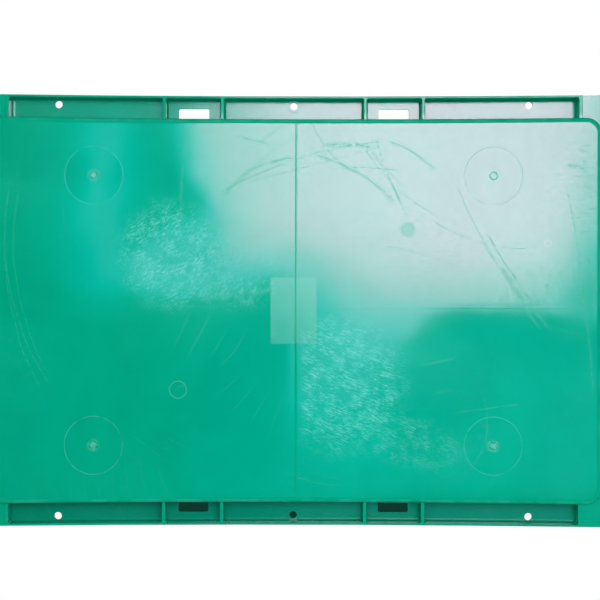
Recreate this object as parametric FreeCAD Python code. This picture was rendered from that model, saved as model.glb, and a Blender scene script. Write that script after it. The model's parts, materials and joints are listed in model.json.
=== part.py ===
import FreeCAD, Part
import math
import os

# Quarter-size plastic pallet, 600 x 400 mm, four-way entry.
# +X runs along the length, +Y along the width (front is -Y), +Z is up. The origin is on
# the floor under the centre of the deck. All sizes are in millimetres.
#
# A one-piece moulded deck sits on nine hollow blocks, and three lengthwise runners close
# the blocks from below. Screws clamp block to deck and runner to block, and rubber plugs
# under the runners grip the floor.

Vector = FreeCAD.Vector

# ---- shared --------------------------------------------------------------
OVERSHOOT = 1.0           # how far a cutter reaches past the face it opens
OVERLAP = 0.5             # how far a fused piece sinks into its neighbour
SKIN_SINK = 1.0           # how far inner ribs and towers stop below a top face
WEB_T = 2.2               # ribs and webs inside deck, blocks and runners

# ---- overall -------------------------------------------------------------
LENGTH = 600.0            # over the deck skirt
WIDTH = 400.0             # over the deck skirt near its ends
DECK_TOP_Z = 140.0        # load face
LIP_TOP_Z = 135.0         # top of the flange lips and ribs
CORNER_FLAT_Z = 134.2     # corner flats and end margins
FLOOR_TOP_Z = 115.0       # floor of the open pockets
DECK_SEAT_Z = 112.0       # underside of the deck
SKIRT_BOW = 2.0           # inward bow of the long sides at mid length
SKIRT_CORNER_R = 14.0
SKIRT_TOP_EDGE_R = 0.8
SKIRT_FOOT_EDGE_R = 1.0

# ---- raised panel --------------------------------------------------------
PANEL_HALF_X = 285.0
PANEL_HALF_Y = 179.0      # near the panel's ends
PANEL_BOW = 2.2
PANEL_CORNER_R = 14.5
PANEL_EDGE_R = 5.0
PANEL_T = 3.0

# ---- long-side pockets ---------------------------------------------------
LIP_T_TOP = 2.0
LIP_T_FOOT = 2.4
RIB_T_TOP = 3.0
RIB_DRAFT = 0.35          # extra thickness per face at the rib's foot
RIB_X = (66.2, 119.9)
POCKET_END_X = 263.8      # outer mouth of the end pockets
POCKET_INNER_Y = 168.0    # hidden inside the panel
POCKET_VERT_R = 1.6
POCKET_FLOOR_R = 1.2
POCKET_COUNT = 10
MOUTH_EDGES = 5           # rounded mouth edges of each pocket
MOUTH_R = 0.7
END_RIB_T = 3.0
STEP_RUN = 0.6            # run of the slanted step from end rib to corner flat

# ---- openings in the flange ---------------------------------------------
SLOT_X, SLOT_LEN, SLOT_R = 93.4, 28.4, 1.8
SLOT_IN_Y, SLOT_OUT_Y = 176.5, 188.6      # the panel wall trims the inner edge
HOLE_X, HOLE_Y, HOLE_R = 220.0, 192.5, 3.5
MID_HOLE_Y = 191.0
MID_BOSS_R, MID_BOSS_H = 5.6, 0.8
EJECT_X, EJECT_Y = (132.1, 147.0), 188.8
EJECT_R, EJECT_CORE_R, EJECT_DEPTH = 3.4, 1.5, 0.35

# ---- surface features of the panel --------------------------------------
DISH_X, DISH_Y, DISH_R, DISH_DEPTH = 184.5, 124.6, 26.8, 0.3
DISH_FOOT_IN, DISH_RIM_OUT = 0.15, 0.16   # slant of the dish wall about DISH_R
DISH_DOME_H = 0.12        # swell of the dish floor
DISH_DOME_R = DISH_R - 0.9
GATE_R, GATE_TIP_R, GATE_HOLE_R, GATE_H = 4.3, 3.3, 1.2, 0.9
GATE_FLOOR_H = 0.2        # floor of the nub's hole above the moat
GATE_MOAT_R, GATE_MOAT_D = 6.3, 0.25
INSERT_X, INSERT_Y, INSERT_R, INSERT_STEP = 43.0, 62.0, 3.5, 0.25
DISC_R, DISC_DEPTH = 7.0, 0.4
DISC_RING_R, DISC_RING_HOLE_R, DISC_RING_DROP = 4.6, 3.8, 0.1
DISC_CENTRES = ((105.2, 74.8), (-107.0, -73.3))

# ---- blocks: rows along Y, columns along X -------------------------------
END_COL_X, SIDE_ROW_Y = 253.0, 149.0
COL_X = {"left": -END_COL_X, "middle": 0.0, "right": END_COL_X}
COL_LENGTH = {"left": 56.0, "middle": 72.0, "right": 56.0}
ROW_Y = {"front": -SIDE_ROW_Y, "centre": 0.0, "rear": SIDE_ROW_Y}
ROW_WIDTH = {"front": 50.0, "centre": 52.0, "rear": 50.0}
RUNNER_Z0, RUNNER_Z1 = 1.5, 22.0
BLOCK_Z0, BLOCK_Z1 = RUNNER_Z1, DECK_SEAT_Z
BLOCK_T = 3.0
BLOCK_R = 9.0
BLOCK_CHAMFER = 0.8
BLOCK_RIB_LIFT = 2.0      # inner cross above the block's foot
WALL_SINK = 1.5           # ribs end at mid wall
TOWER_R = 6.0
SPOT_BOSS_R = 6.4
BLOCK_PILOT_DEPTH = 24.0
FLUTE_R, FLUTE_D = 4.0, 1.2
FLUTE_INSET = 12.0        # from the block's ends to the flute's round ends
FLUTE_PITCH_X, FLUTE_PITCH_Y = 12.0, 11.0
LONG_BLOCK = 60.0         # from this length a block has four flutes along X

# ---- rib grid under the panel, from the centre outwards -----------------
GRID_X = (0.0, 36.0, 84.0, 131.0, 178.0, 225.0, END_COL_X, 283.1)
GRID_Y = (0.0, 26.0, 75.0, 124.0, SIDE_ROW_Y, 175.1)
MARGIN_T = 2.6            # wall and skin of the end margins
CORNER_CELL_X = (268.6, 288.0)
CORNER_CELL_Y = (180.8, 195.6)
DECK_BOSS_R = 6.0
DECK_PILOT_DEPTH = 21.0

# ---- runners -------------------------------------------------------------
RUNNER_HALF_X = 285.0
RUNNER_MARGIN = 4.0       # beyond the blocks on each long side
RUNNER_T = 3.0
RUNNER_R = 12.0
RUNNER_EDGE_R = 2.5       # top edge, a lead-in for fork arms
RUNNER_FOOT_R = 1.2
RUNNER_RIB_X = (0.0, 36.0, 67.0, 99.0, 131.0, 163.0, 195.0, 225.0, END_COL_X,
                RUNNER_HALF_X - RUNNER_T)
RUNNER_BOSS_R = 7.4

# ---- screws --------------------------------------------------------------
SCREW_DX, SCREW_DY = 17.0, 13.0           # from the block's centre
DECK_DIAGONAL, RUNNER_DIAGONAL = -1, 1    # slope of the line through a block's screws
SCREW_R = 2.5
SCREW_HOLE_R = SCREW_R + 0.3
PILOT_R = 2.55
HEAD_R, HEAD_H, HEAD_EDGE_R = 4.8, 3.2, 1.4
HEX_R, HEX_DEPTH, HEX_OVERSHOOT = 2.3, 2.0, 0.1
TIP_R, TIP_LEN = 0.8, 2.5
COUNTERBORE_R = 5.4
RUNNER_SEAT_Z, RUNNER_SCREW_LEN = 12.0, 32.0
BLOCK_SEAT_Z, DECK_SCREW_LEN = BLOCK_Z1 - 5.0, 24.0

# ---- grip plugs ----------------------------------------------------------
PLUG_R, PLUG_T, PLUG_CHAMFER = 12.0, 5.5, 1.0
PLUG_POCKET_R = PLUG_R + 0.2
PLUG_COLLAR_T = 2.2
PLUG_STEM_R = 4.0
PLUG_HOLE_R = PLUG_STEM_R + 0.2
PLUG_PLATE_T = 3.0        # runner plate between disc and barb
PLUG_PLATE_Z = PLUG_T + PLUG_PLATE_T
BARB_R, BARB_TIP_R, BARB_H, BARB_ROOM_R = 5.6, 3.2, 4.5, 7.0
GROOVE_RADII, GROOVE_HALF_W, GROOVE_DEPTH = (5.2, 8.2), 0.5, 0.6


# ---------------------------------------------------------------------------
# helpers
# ---------------------------------------------------------------------------
def box(x0, x1, y0, y1, z0, z1):
    """Box between limits; each x and y pair may come in either order."""
    x0, x1 = sorted((x0, x1))
    y0, y1 = sorted((y0, y1))
    return Part.makeBox(x1 - x0, y1 - y0, z1 - z0, Vector(x0, y0, z0))


def cylinder(x, y, z0, z1, radius):
    return Part.makeCylinder(radius, z1 - z0, Vector(x, y, z0))


def cone(x, y, z0, z1, radius0, radius1):
    return Part.makeCone(radius0, radius1, z1 - z0, Vector(x, y, z0))


def arc(start, middle, end):
    return Part.Arc(start, middle, end).toShape()


def long_arc(half_x, half_y, bow, corner_r):
    """Radius and centre height of the shallow inward arc of the +Y long side.
    half_y is the largest half width, which the rounded corners reach."""
    radius = (half_x * half_x + bow * bow) / (2.0 * bow)
    rise = radius - math.sqrt((radius + corner_r) ** 2 - (half_x - corner_r) ** 2) + corner_r
    return radius, half_y - rise + radius


def bowed_wire(half_x, half_y, bow, corner_r, z):
    """Rounded rectangle whose two long sides are shallow inward arcs."""
    radius, centre_y = long_arc(half_x, half_y, bow, corner_r)
    waist_y = centre_y - radius
    corner_x = half_x - corner_r
    corner_y = centre_y - math.sqrt((radius + corner_r) ** 2 - corner_x ** 2)
    # tangent point of long arc and corner arc, then the corner arc's middle
    share = radius / (radius + corner_r)
    tan_x = corner_x * share
    tan_y = centre_y + (corner_y - centre_y) * share
    angle = math.atan2(tan_y - corner_y, tan_x - corner_x) / 2.0
    mid_x = corner_x + corner_r * math.cos(angle)
    mid_y = corner_y + corner_r * math.sin(angle)

    def point(x, y):
        return Vector(x, y, z)

    return Part.Wire([
        arc(point(-tan_x, tan_y), point(0, waist_y), point(tan_x, tan_y)),
        arc(point(tan_x, tan_y), point(mid_x, mid_y), point(half_x, corner_y)),
        Part.makeLine(point(half_x, corner_y), point(half_x, -corner_y)),
        arc(point(half_x, -corner_y), point(mid_x, -mid_y), point(tan_x, -tan_y)),
        arc(point(tan_x, -tan_y), point(0, -waist_y), point(-tan_x, -tan_y)),
        arc(point(-tan_x, -tan_y), point(-mid_x, -mid_y), point(-half_x, -corner_y)),
        Part.makeLine(point(-half_x, -corner_y), point(-half_x, corner_y)),
        arc(point(-half_x, corner_y), point(-mid_x, mid_y), point(-tan_x, tan_y)),
    ])


def prism(wire, top_z):
    return Part.Face(wire).extrude(Vector(0, 0, top_z - wire.BoundBox.ZMin))


def panel_prism(z0):
    """The raised panel's outline from z0 up to the load face."""
    wire = bowed_wire(PANEL_HALF_X, PANEL_HALF_Y, PANEL_BOW, PANEL_CORNER_R, z0)
    return prism(wire, DECK_TOP_Z)


def arc_sag(radius):
    """Distance from a square corner's sides to the middle of its rounding."""
    return radius * (1 - math.sqrt(0.5))


def round_box(centre_x, centre_y, length, width, r, z0, z1):
    """Box with rounded vertical corners."""
    hx, hy = length / 2.0, width / 2.0
    sag = arc_sag(r)

    def point(x, y):
        return Vector(centre_x + x, centre_y + y, z0)

    wire = Part.Wire([
        Part.makeLine(point(-hx + r, hy), point(hx - r, hy)),
        arc(point(hx - r, hy), point(hx - sag, hy - sag), point(hx, hy - r)),
        Part.makeLine(point(hx, hy - r), point(hx, -hy + r)),
        arc(point(hx, -hy + r), point(hx - sag, -hy + sag), point(hx - r, -hy)),
        Part.makeLine(point(hx - r, -hy), point(-hx + r, -hy)),
        arc(point(-hx + r, -hy), point(-hx + sag, -hy + sag), point(-hx, -hy + r)),
        Part.makeLine(point(-hx, -hy + r), point(-hx, hy - r)),
        arc(point(-hx, hy - r), point(-hx + sag, hy - sag), point(-hx + r, hy)),
    ])
    return Part.Face(wire).extrude(Vector(0, 0, z1 - z0))


def mirrored(values):
    """The values and their negatives, in rising order."""
    return sorted(set([-value for value in values] + list(values)))


def gaps(stations, rib_t):
    """Open spans between ribs centred on neighbouring stations."""
    half = rib_t / 2.0
    return [(a + half, b - half) for a, b in zip(stations, stations[1:])]


def edges_at(shape, z, test=None, tol=1e-4):
    """Edges that lie wholly at height z and whose midpoint passes the test."""
    found = []
    for edge in shape.Edges:
        bounds = edge.BoundBox
        if abs(bounds.ZMin - z) < tol and abs(bounds.ZMax - z) < tol:
            middle = edge.valueAt((edge.FirstParameter + edge.LastParameter) / 2.0)
            if test is None or test(middle):
                found.append(edge)
    return found


def one_solid(shape, name):
    shape = shape.removeSplitter()
    if len(shape.Solids) != 1:
        raise RuntimeError("%s has %d solids" % (name, len(shape.Solids)))
    solid = shape.Solids[0]
    if not solid.isValid():
        raise RuntimeError(name + " is not a valid solid")
    return solid


def save(name, shape):
    shape.exportStep("parts/%s.step" % name)


def screw_points(row, diagonal):
    """Screw centres of one row: two on the given diagonal of each block."""
    for x in COL_X.values():
        for end in (1, -1):
            yield x + end * SCREW_DX, ROW_Y[row] + end * diagonal * SCREW_DY


# ---------------------------------------------------------------------------
# deck: one moulding with a raised panel, flanges, pockets and a rib grid
# ---------------------------------------------------------------------------
def skirt_y(x, inset):
    """Half width at x of the skirt's long side, moved inwards by the inset."""
    radius, centre_y = long_arc(LENGTH / 2.0, WIDTH / 2.0, SKIRT_BOW, SKIRT_CORNER_R)
    return centre_y - math.sqrt((radius + inset) ** 2 - x * x)


def pocket_wire(side, x0, x1, z, inset):
    """Pocket outline: square inner corners, rounded corners at the lip."""
    r = POCKET_VERT_R
    sag = arc_sag(r)
    mid_x = (x0 + x1) / 2.0
    y0, mid_y, y1 = (skirt_y(x, inset) for x in (x0 + r, mid_x, x1 - r))

    def point(x, y):
        return Vector(x, side * y, z)

    return Part.Wire([
        Part.makeLine(point(x0, POCKET_INNER_Y), point(x0, y0 - r)),
        arc(point(x0, y0 - r), point(x0 + sag, y0 - sag), point(x0 + r, y0)),
        arc(point(x0 + r, y0), point(mid_x, mid_y), point(x1 - r, y1)),
        arc(point(x1 - r, y1), point(x1 - sag, y1 - sag), point(x1, y1 - r)),
        Part.makeLine(point(x1, y1 - r), point(x1, POCKET_INNER_Y)),
        Part.makeLine(point(x1, POCKET_INNER_Y), point(x0, POCKET_INNER_Y)),
    ])


def pocket_cutter(side, x0, x1):
    """Drafted cutter for one open pocket. It reaches in past the panel wall,
    which closes the pocket's inner side."""
    foot = pocket_wire(side, x0 + RIB_DRAFT, x1 - RIB_DRAFT, FLOOR_TOP_Z, LIP_T_FOOT)
    mouth = pocket_wire(side, x0, x1, LIP_TOP_Z, LIP_T_TOP)
    body = Part.makeLoft([foot, mouth], True, True)
    # all floor edges but the hidden inner one
    floor_edges = edges_at(body, FLOOR_TOP_Z, lambda m: side * m.y > POCKET_INNER_Y + 0.5)
    return body.makeFillet(POCKET_FLOOR_R, floor_edges)


def corner_step_cutters():
    """Lower the corner flats and end margins, with a slanted step."""
    foot_x = POCKET_END_X + END_RIB_T + STEP_RUN
    top_z = LIP_TOP_Z + OVERSHOOT
    run = (top_z - CORNER_FLAT_Z) * STEP_RUN / (LIP_TOP_Z - CORNER_FLAT_Z)
    profile = ((foot_x - run, top_z), (foot_x, CORNER_FLAT_Z),
               (LENGTH, CORNER_FLAT_Z), (LENGTH, top_z))
    cutters = []
    for side in (-1, 1):
        points = [Vector(side * x, -WIDTH, z) for x, z in profile]
        face = Part.Face(Part.makePolygon(points + [points[0]]))
        cutters.append(face.extrude(Vector(0, 2 * WIDTH, 0)))
    return cutters


def build_skirt():
    wire = bowed_wire(LENGTH / 2.0, WIDTH / 2.0, SKIRT_BOW, SKIRT_CORNER_R, DECK_SEAT_Z)
    skirt = prism(wire, LIP_TOP_Z)
    skirt = skirt.makeFillet(SKIRT_TOP_EDGE_R, edges_at(skirt, LIP_TOP_Z))
    skirt = skirt.makeFillet(SKIRT_FOOT_EDGE_R, edges_at(skirt, DECK_SEAT_Z))

    faces = [-POCKET_END_X]
    for x in mirrored(RIB_X):
        faces += [x - RIB_T_TOP / 2.0, x + RIB_T_TOP / 2.0]
    faces.append(POCKET_END_X)
    spans = list(zip(faces[::2], faces[1::2]))
    skirt = skirt.cut([pocket_cutter(side, x0, x1) for side in (-1, 1) for x0, x1 in spans])

    # rounded mouths, without the inner edges and the skirt's outer edge
    mouth = edges_at(
        skirt, LIP_TOP_Z,
        lambda m: abs(m.x) < POCKET_END_X + 0.5
        and POCKET_INNER_Y + 1.0 < abs(m.y) < skirt_y(m.x, LIP_T_TOP - 0.5),
    )
    if len(mouth) != POCKET_COUNT * MOUTH_EDGES:
        raise RuntimeError("pocket mouths: %d edges" % len(mouth))
    skirt = skirt.makeFillet(MOUTH_R, mouth)
    return skirt.cut(corner_step_cutters())


def underside_cutters():
    """Open cells between the grid ribs, and under the margins and corners."""
    foot_z = DECK_SEAT_Z - OVERSHOOT
    margin_top_z = CORNER_FLAT_Z - MARGIN_T
    spans_y = gaps(mirrored(GRID_Y), WEB_T)
    cells = [box(x0, x1, y0, y1, foot_z, DECK_TOP_Z - PANEL_T)
             for x0, x1 in gaps(mirrored(GRID_X), WEB_T) for y0, y1 in spans_y]
    for end in (-1, 1):
        for y0, y1 in spans_y:
            cells.append(box(end * PANEL_HALF_X, end * (LENGTH / 2.0 - MARGIN_T), y0, y1,
                             foot_z, margin_top_z))
        for side in (-1, 1):
            cells.append(box(end * CORNER_CELL_X[0], end * CORNER_CELL_X[1],
                             side * CORNER_CELL_Y[0], side * CORNER_CELL_Y[1],
                             foot_z, margin_top_z))
    return cells


def add_deck_bosses(deck):
    """Screw bosses over the blocks and rings round the two middle holes."""
    bosses, pilots = [], []
    for row in ROW_Y:
        for x, y in screw_points(row, DECK_DIAGONAL):
            bosses.append(cylinder(x, y, DECK_SEAT_Z, DECK_TOP_Z - PANEL_T + OVERLAP,
                                   DECK_BOSS_R))
            pilots.append(cylinder(x, y, DECK_SEAT_Z - OVERSHOOT,
                                   DECK_SEAT_Z + DECK_PILOT_DEPTH, PILOT_R))
    for side in (-1, 1):
        bosses.append(cylinder(0, side * MID_HOLE_Y, FLOOR_TOP_Z - OVERLAP,
                               FLOOR_TOP_Z + MID_BOSS_H, MID_BOSS_R))
    return deck.fuse(bosses).cut(pilots)


def flange_cutters():
    """Slots, holes and shallow ring marks in the flange floors."""
    foot_z = DECK_SEAT_Z - OVERSHOOT
    top_z = FLOOR_TOP_Z + 2.0
    cutters = []
    for end in (-1, 1):
        for side in (-1, 1):
            slot_y = side * (SLOT_IN_Y + SLOT_OUT_Y) / 2.0
            cutters.append(round_box(end * SLOT_X, slot_y, SLOT_LEN, SLOT_OUT_Y - SLOT_IN_Y,
                                     SLOT_R, foot_z, top_z))
            cutters.append(cylinder(end * HOLE_X, side * HOLE_Y, foot_z, top_z, HOLE_R))
            for eject_x in EJECT_X:
                x, y = end * eject_x, side * EJECT_Y
                mark = cylinder(x, y, FLOOR_TOP_Z - EJECT_DEPTH, FLOOR_TOP_Z + 0.2, EJECT_R)
                core = cylinder(x, y, FLOOR_TOP_Z - 1.0, FLOOR_TOP_Z + 1.0, EJECT_CORE_R)
                cutters.append(mark.cut(core))
    for side in (-1, 1):
        cutters.append(cylinder(0, side * MID_HOLE_Y, foot_z, FLOOR_TOP_Z + 3.0, HOLE_R))
    # the cutters stop at the panel wall's face
    keep = panel_prism(DECK_SEAT_Z - 2.0)
    return [cutter.cut(keep) for cutter in cutters]


def add_panel_marks(deck):
    """Gate dishes, the middle insert's witness and two witness discs."""
    recesses, domes, nubs = [], [], []
    dish_z = DECK_TOP_Z - DISH_DEPTH
    dome_z = dish_z + DISH_DOME_H
    moat_z = dome_z - GATE_MOAT_D
    ball_r = DISH_DOME_R ** 2 / (2.0 * DISH_DOME_H) + DISH_DOME_H / 2.0
    for end in (-1, 1):
        for side in (-1, 1):
            x, y = end * DISH_X, side * DISH_Y
            recesses.append(cone(x, y, dish_z, DECK_TOP_Z + 0.01,
                                 DISH_R - DISH_FOOT_IN, DISH_R + DISH_RIM_OUT))
            # the floor swells like a lens, with a ring nub in a moat in the middle
            ball = Part.makeSphere(ball_r, Vector(x, y, dome_z - ball_r))
            dome = cylinder(x, y, dish_z - OVERLAP, dish_z + 1.0, DISH_DOME_R).common(ball)
            domes.append(dome.cut(cylinder(x, y, moat_z, moat_z + 2.0, GATE_MOAT_R)))
            nub = cone(x, y, moat_z - OVERLAP, moat_z + GATE_H, GATE_R, GATE_TIP_R)
            nubs.append(nub.cut(cylinder(x, y, moat_z + GATE_FLOOR_H, moat_z + 3.0,
                                         GATE_HOLE_R)))
    recesses.append(round_box(0, 0, INSERT_X, INSERT_Y, INSERT_R,
                              DECK_TOP_Z - INSERT_STEP, DECK_TOP_Z + OVERSHOOT))
    # each disc is a recess with a raised ring in it
    disc_z = DECK_TOP_Z - DISC_DEPTH
    for x, y in DISC_CENTRES:
        recesses.append(cylinder(x, y, disc_z, DECK_TOP_Z + OVERSHOOT, DISC_R))
        ring = cylinder(x, y, disc_z - OVERLAP, DECK_TOP_Z - DISC_RING_DROP, DISC_RING_R)
        nubs.append(ring.cut(cylinder(x, y, DECK_TOP_Z - 2.0, DECK_TOP_Z + OVERSHOOT,
                                      DISC_RING_HOLE_R)))
    return deck.cut(recesses).fuse(domes + nubs)


def build_deck():
    skirt = build_skirt()
    panel = panel_prism(DECK_SEAT_Z)
    panel = panel.makeFillet(PANEL_EDGE_R, edges_at(panel, DECK_TOP_Z))
    deck = skirt.fuse(panel)
    deck = deck.cut(underside_cutters())
    deck = add_deck_bosses(deck)
    deck = deck.cut(flange_cutters())
    deck = add_panel_marks(deck)
    return one_solid(deck, "deck")


# ---------------------------------------------------------------------------
# block: a hollow moulding, closed on top and open below, with shallow flutes
# ---------------------------------------------------------------------------
def flute(x, y):
    """Upright rod with round ends, which scoops one flute."""
    z0, z1 = BLOCK_Z0 + FLUTE_INSET, BLOCK_Z1 - FLUTE_INSET
    ends = [Part.makeSphere(FLUTE_R, Vector(x, y, z)) for z in (z0, z1)]
    return cylinder(x, y, z0, z1, FLUTE_R).fuse(ends)


def block_flutes(block_x, block_y, length, width):
    offset = FLUTE_R - FLUTE_D
    count_x = 3 if length < LONG_BLOCK else 4
    flutes = []
    for i in range(count_x):
        for side in (-1, 1):
            flutes.append(flute(block_x + (i - (count_x - 1) / 2.0) * FLUTE_PITCH_X,
                                block_y + side * (width / 2.0 + offset)))
    for i in (-1, 0, 1):
        for side in (-1, 1):
            flutes.append(flute(block_x + side * (length / 2.0 + offset),
                                block_y + i * FLUTE_PITCH_Y))
    return flutes


def build_block(block_x, block_y, length, width):
    body = round_box(block_x, block_y, length, width, BLOCK_R, BLOCK_Z0, BLOCK_Z1)
    hollow = round_box(block_x, block_y, length - 2 * BLOCK_T, width - 2 * BLOCK_T,
                       BLOCK_R - BLOCK_T, BLOCK_Z0 - OVERSHOOT, BLOCK_Z1 - BLOCK_T)
    body = body.makeChamfer(BLOCK_CHAMFER, edges_at(body, BLOCK_Z1))

    # stiffening cross
    half_web = WEB_T / 2.0
    reach_x, reach_y = length / 2 - WALL_SINK, width / 2 - WALL_SINK
    rib_z, top_z = BLOCK_Z0 + BLOCK_RIB_LIFT, BLOCK_Z1 - SKIN_SINK
    inner = [
        box(block_x - reach_x, block_x + reach_x, block_y - half_web, block_y + half_web,
            rib_z, top_z),
        box(block_x - half_web, block_x + half_web, block_y - reach_y, block_y + reach_y,
            rib_z, top_z),
    ]
    holes = []
    for end in (-1, 1):
        # tower for a runner screw, with webs to the two nearest walls
        x, y = block_x + end * SCREW_DX, block_y + end * SCREW_DY
        inner.append(cylinder(x, y, BLOCK_Z0, top_z, TOWER_R))
        inner.append(box(x, block_x + end * reach_x, y - half_web, y + half_web,
                         BLOCK_Z0, top_z))
        inner.append(box(x - half_web, x + half_web, y, block_y + end * reach_y,
                         BLOCK_Z0, top_z))
        holes.append(cylinder(x, y, BLOCK_Z0 - OVERSHOOT, BLOCK_Z0 + BLOCK_PILOT_DEPTH,
                              PILOT_R))
        # spot boss under the top for a deck screw
        y = block_y - end * SCREW_DY
        inner.append(cylinder(x, y, BLOCK_SEAT_Z, top_z, SPOT_BOSS_R))
        holes.append(cylinder(x, y, BLOCK_SEAT_Z - OVERSHOOT, BLOCK_Z1 + OVERSHOOT,
                              SCREW_HOLE_R))
    body = body.cut([hollow] + block_flutes(block_x, block_y, length, width))
    body = body.fuse(inner)
    body = body.cut(holes)
    return one_solid(body, "block")


# ---------------------------------------------------------------------------
# runner: a lengthwise moulding, smooth on top, ribbed and open below
# ---------------------------------------------------------------------------
def runner_cells(row_y, length, width):
    """Cells between the cross ribs, one row each side of a centre rib."""
    half_web = WEB_T / 2.0
    inner_y = width / 2.0 - RUNNER_T
    spans = gaps(mirrored(RUNNER_RIB_X), WEB_T)
    cells = []
    for span in spans:
        for y0, y1 in ((row_y - inner_y, row_y - half_web), (row_y + half_web, row_y + inner_y)):
            cell = box(*span, y0, y1, RUNNER_Z0 - OVERSHOOT, RUNNER_Z1 - RUNNER_T)
            if span in (spans[0], spans[-1]):
                # end cells follow the rounded plan corner
                cell = cell.common(round_box(
                    0, row_y, length - 2 * RUNNER_T, width - 2 * RUNNER_T,
                    RUNNER_R - RUNNER_T, RUNNER_Z0 - 2.0, RUNNER_Z1))
            cells.append(cell)
    return cells


def build_runner(row):
    row_y = ROW_Y[row]
    length = 2 * RUNNER_HALF_X
    width = ROW_WIDTH[row] + 2 * RUNNER_MARGIN
    foot_z = RUNNER_Z0 - OVERSHOOT
    body = round_box(0, row_y, length, width, RUNNER_R, RUNNER_Z0, RUNNER_Z1)
    body = body.makeFillet(RUNNER_EDGE_R, edges_at(body, RUNNER_Z1))
    body = body.makeFillet(RUNNER_FOOT_R, edges_at(body, RUNNER_Z0))
    body = body.cut(runner_cells(row_y, length, width))
    bosses, holes = [], []
    for x, y in screw_points(row, RUNNER_DIAGONAL):
        bosses.append(cylinder(x, y, RUNNER_Z0, RUNNER_Z1 - SKIN_SINK, RUNNER_BOSS_R))
        holes.append(cylinder(x, y, foot_z, RUNNER_SEAT_Z, COUNTERBORE_R))
        holes.append(cylinder(x, y, foot_z, RUNNER_Z1 + OVERSHOOT, SCREW_HOLE_R))
    for x in COL_X.values():
        bosses.append(cylinder(x, row_y, RUNNER_Z0, PLUG_PLATE_Z,
                               PLUG_POCKET_R + PLUG_COLLAR_T))
        holes.append(cylinder(x, row_y, foot_z, PLUG_T, PLUG_POCKET_R))
        # room over the plate for the plug's barb
        holes.append(cylinder(x, row_y, PLUG_PLATE_Z, RUNNER_Z1 - RUNNER_T, BARB_ROOM_R))
        holes.append(cylinder(x, row_y, foot_z, PLUG_PLATE_Z + OVERSHOOT, PLUG_HOLE_R))
    body = body.fuse(bosses)
    body = body.cut(holes)
    return one_solid(body, "runner_" + row)


# ---------------------------------------------------------------------------
# rubber grip plug: a disc that stands out below the runner, with a barb
# ---------------------------------------------------------------------------
def build_plug(x, y):
    disc = cylinder(x, y, 0.0, PLUG_T, PLUG_R)
    disc = disc.makeChamfer(PLUG_CHAMFER, edges_at(disc, 0.0))
    # concentric grip grooves in the floor face
    grooves = []
    for radius in GROOVE_RADII:
        outer = cylinder(x, y, -1.0, GROOVE_DEPTH, radius + GROOVE_HALF_W)
        grooves.append(outer.cut(cylinder(x, y, -2.0, 1.0, radius - GROOVE_HALF_W)))
    disc = disc.cut(grooves)
    stem = cylinder(x, y, PLUG_T - OVERLAP, PLUG_PLATE_Z, PLUG_STEM_R)
    barb = cone(x, y, PLUG_PLATE_Z, PLUG_PLATE_Z + BARB_H, BARB_R, BARB_TIP_R)
    return one_solid(disc.fuse([stem, barb]), "plug")


# ---------------------------------------------------------------------------
# screw: pan head with a hexagon recess, shank pointing up
# ---------------------------------------------------------------------------
def build_screw(x, y, seat_z, length):
    head_z, end_z = seat_z - HEAD_H, seat_z + length
    head = cylinder(x, y, head_z, seat_z, HEAD_R)
    head = head.makeFillet(HEAD_EDGE_R, edges_at(head, head_z))
    shank = cylinder(x, y, seat_z - OVERLAP, end_z - TIP_LEN, SCREW_R)
    tip = cone(x, y, end_z - TIP_LEN, end_z, SCREW_R, TIP_R)
    angles = [math.radians(60 * i) for i in range(7)]
    hexagon = Part.makePolygon([
        Vector(x + HEX_R * math.cos(angle), y + HEX_R * math.sin(angle),
               head_z - HEX_OVERSHOOT) for angle in angles])
    recess = Part.Face(hexagon).extrude(Vector(0, 0, HEX_DEPTH + HEX_OVERSHOOT))
    return one_solid(head.fuse([shank, tip]).cut(recess), "screw")


def build_screws(row, diagonal, seat_z, length):
    return Part.makeCompound(
        [build_screw(x, y, seat_z, length) for x, y in screw_points(row, diagonal)])


# ---------------------------------------------------------------------------
# build and write every piece
# ---------------------------------------------------------------------------
os.makedirs("parts", exist_ok=True)

save("deck", build_deck())

for row, y in ROW_Y.items():
    for col, x in COL_X.items():
        save("block_%s_%s" % (row, col), build_block(x, y, COL_LENGTH[col], ROW_WIDTH[row]))
    save("runner_" + row, build_runner(row))
    save("grip_plugs_" + row, Part.makeCompound([build_plug(x, y) for x in COL_X.values()]))
    save("deck_screws_" + row, build_screws(row, DECK_DIAGONAL, BLOCK_SEAT_Z, DECK_SCREW_LEN))
    save("runner_screws_" + row,
         build_screws(row, RUNNER_DIAGONAL, RUNNER_SEAT_Z, RUNNER_SCREW_LEN))
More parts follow.
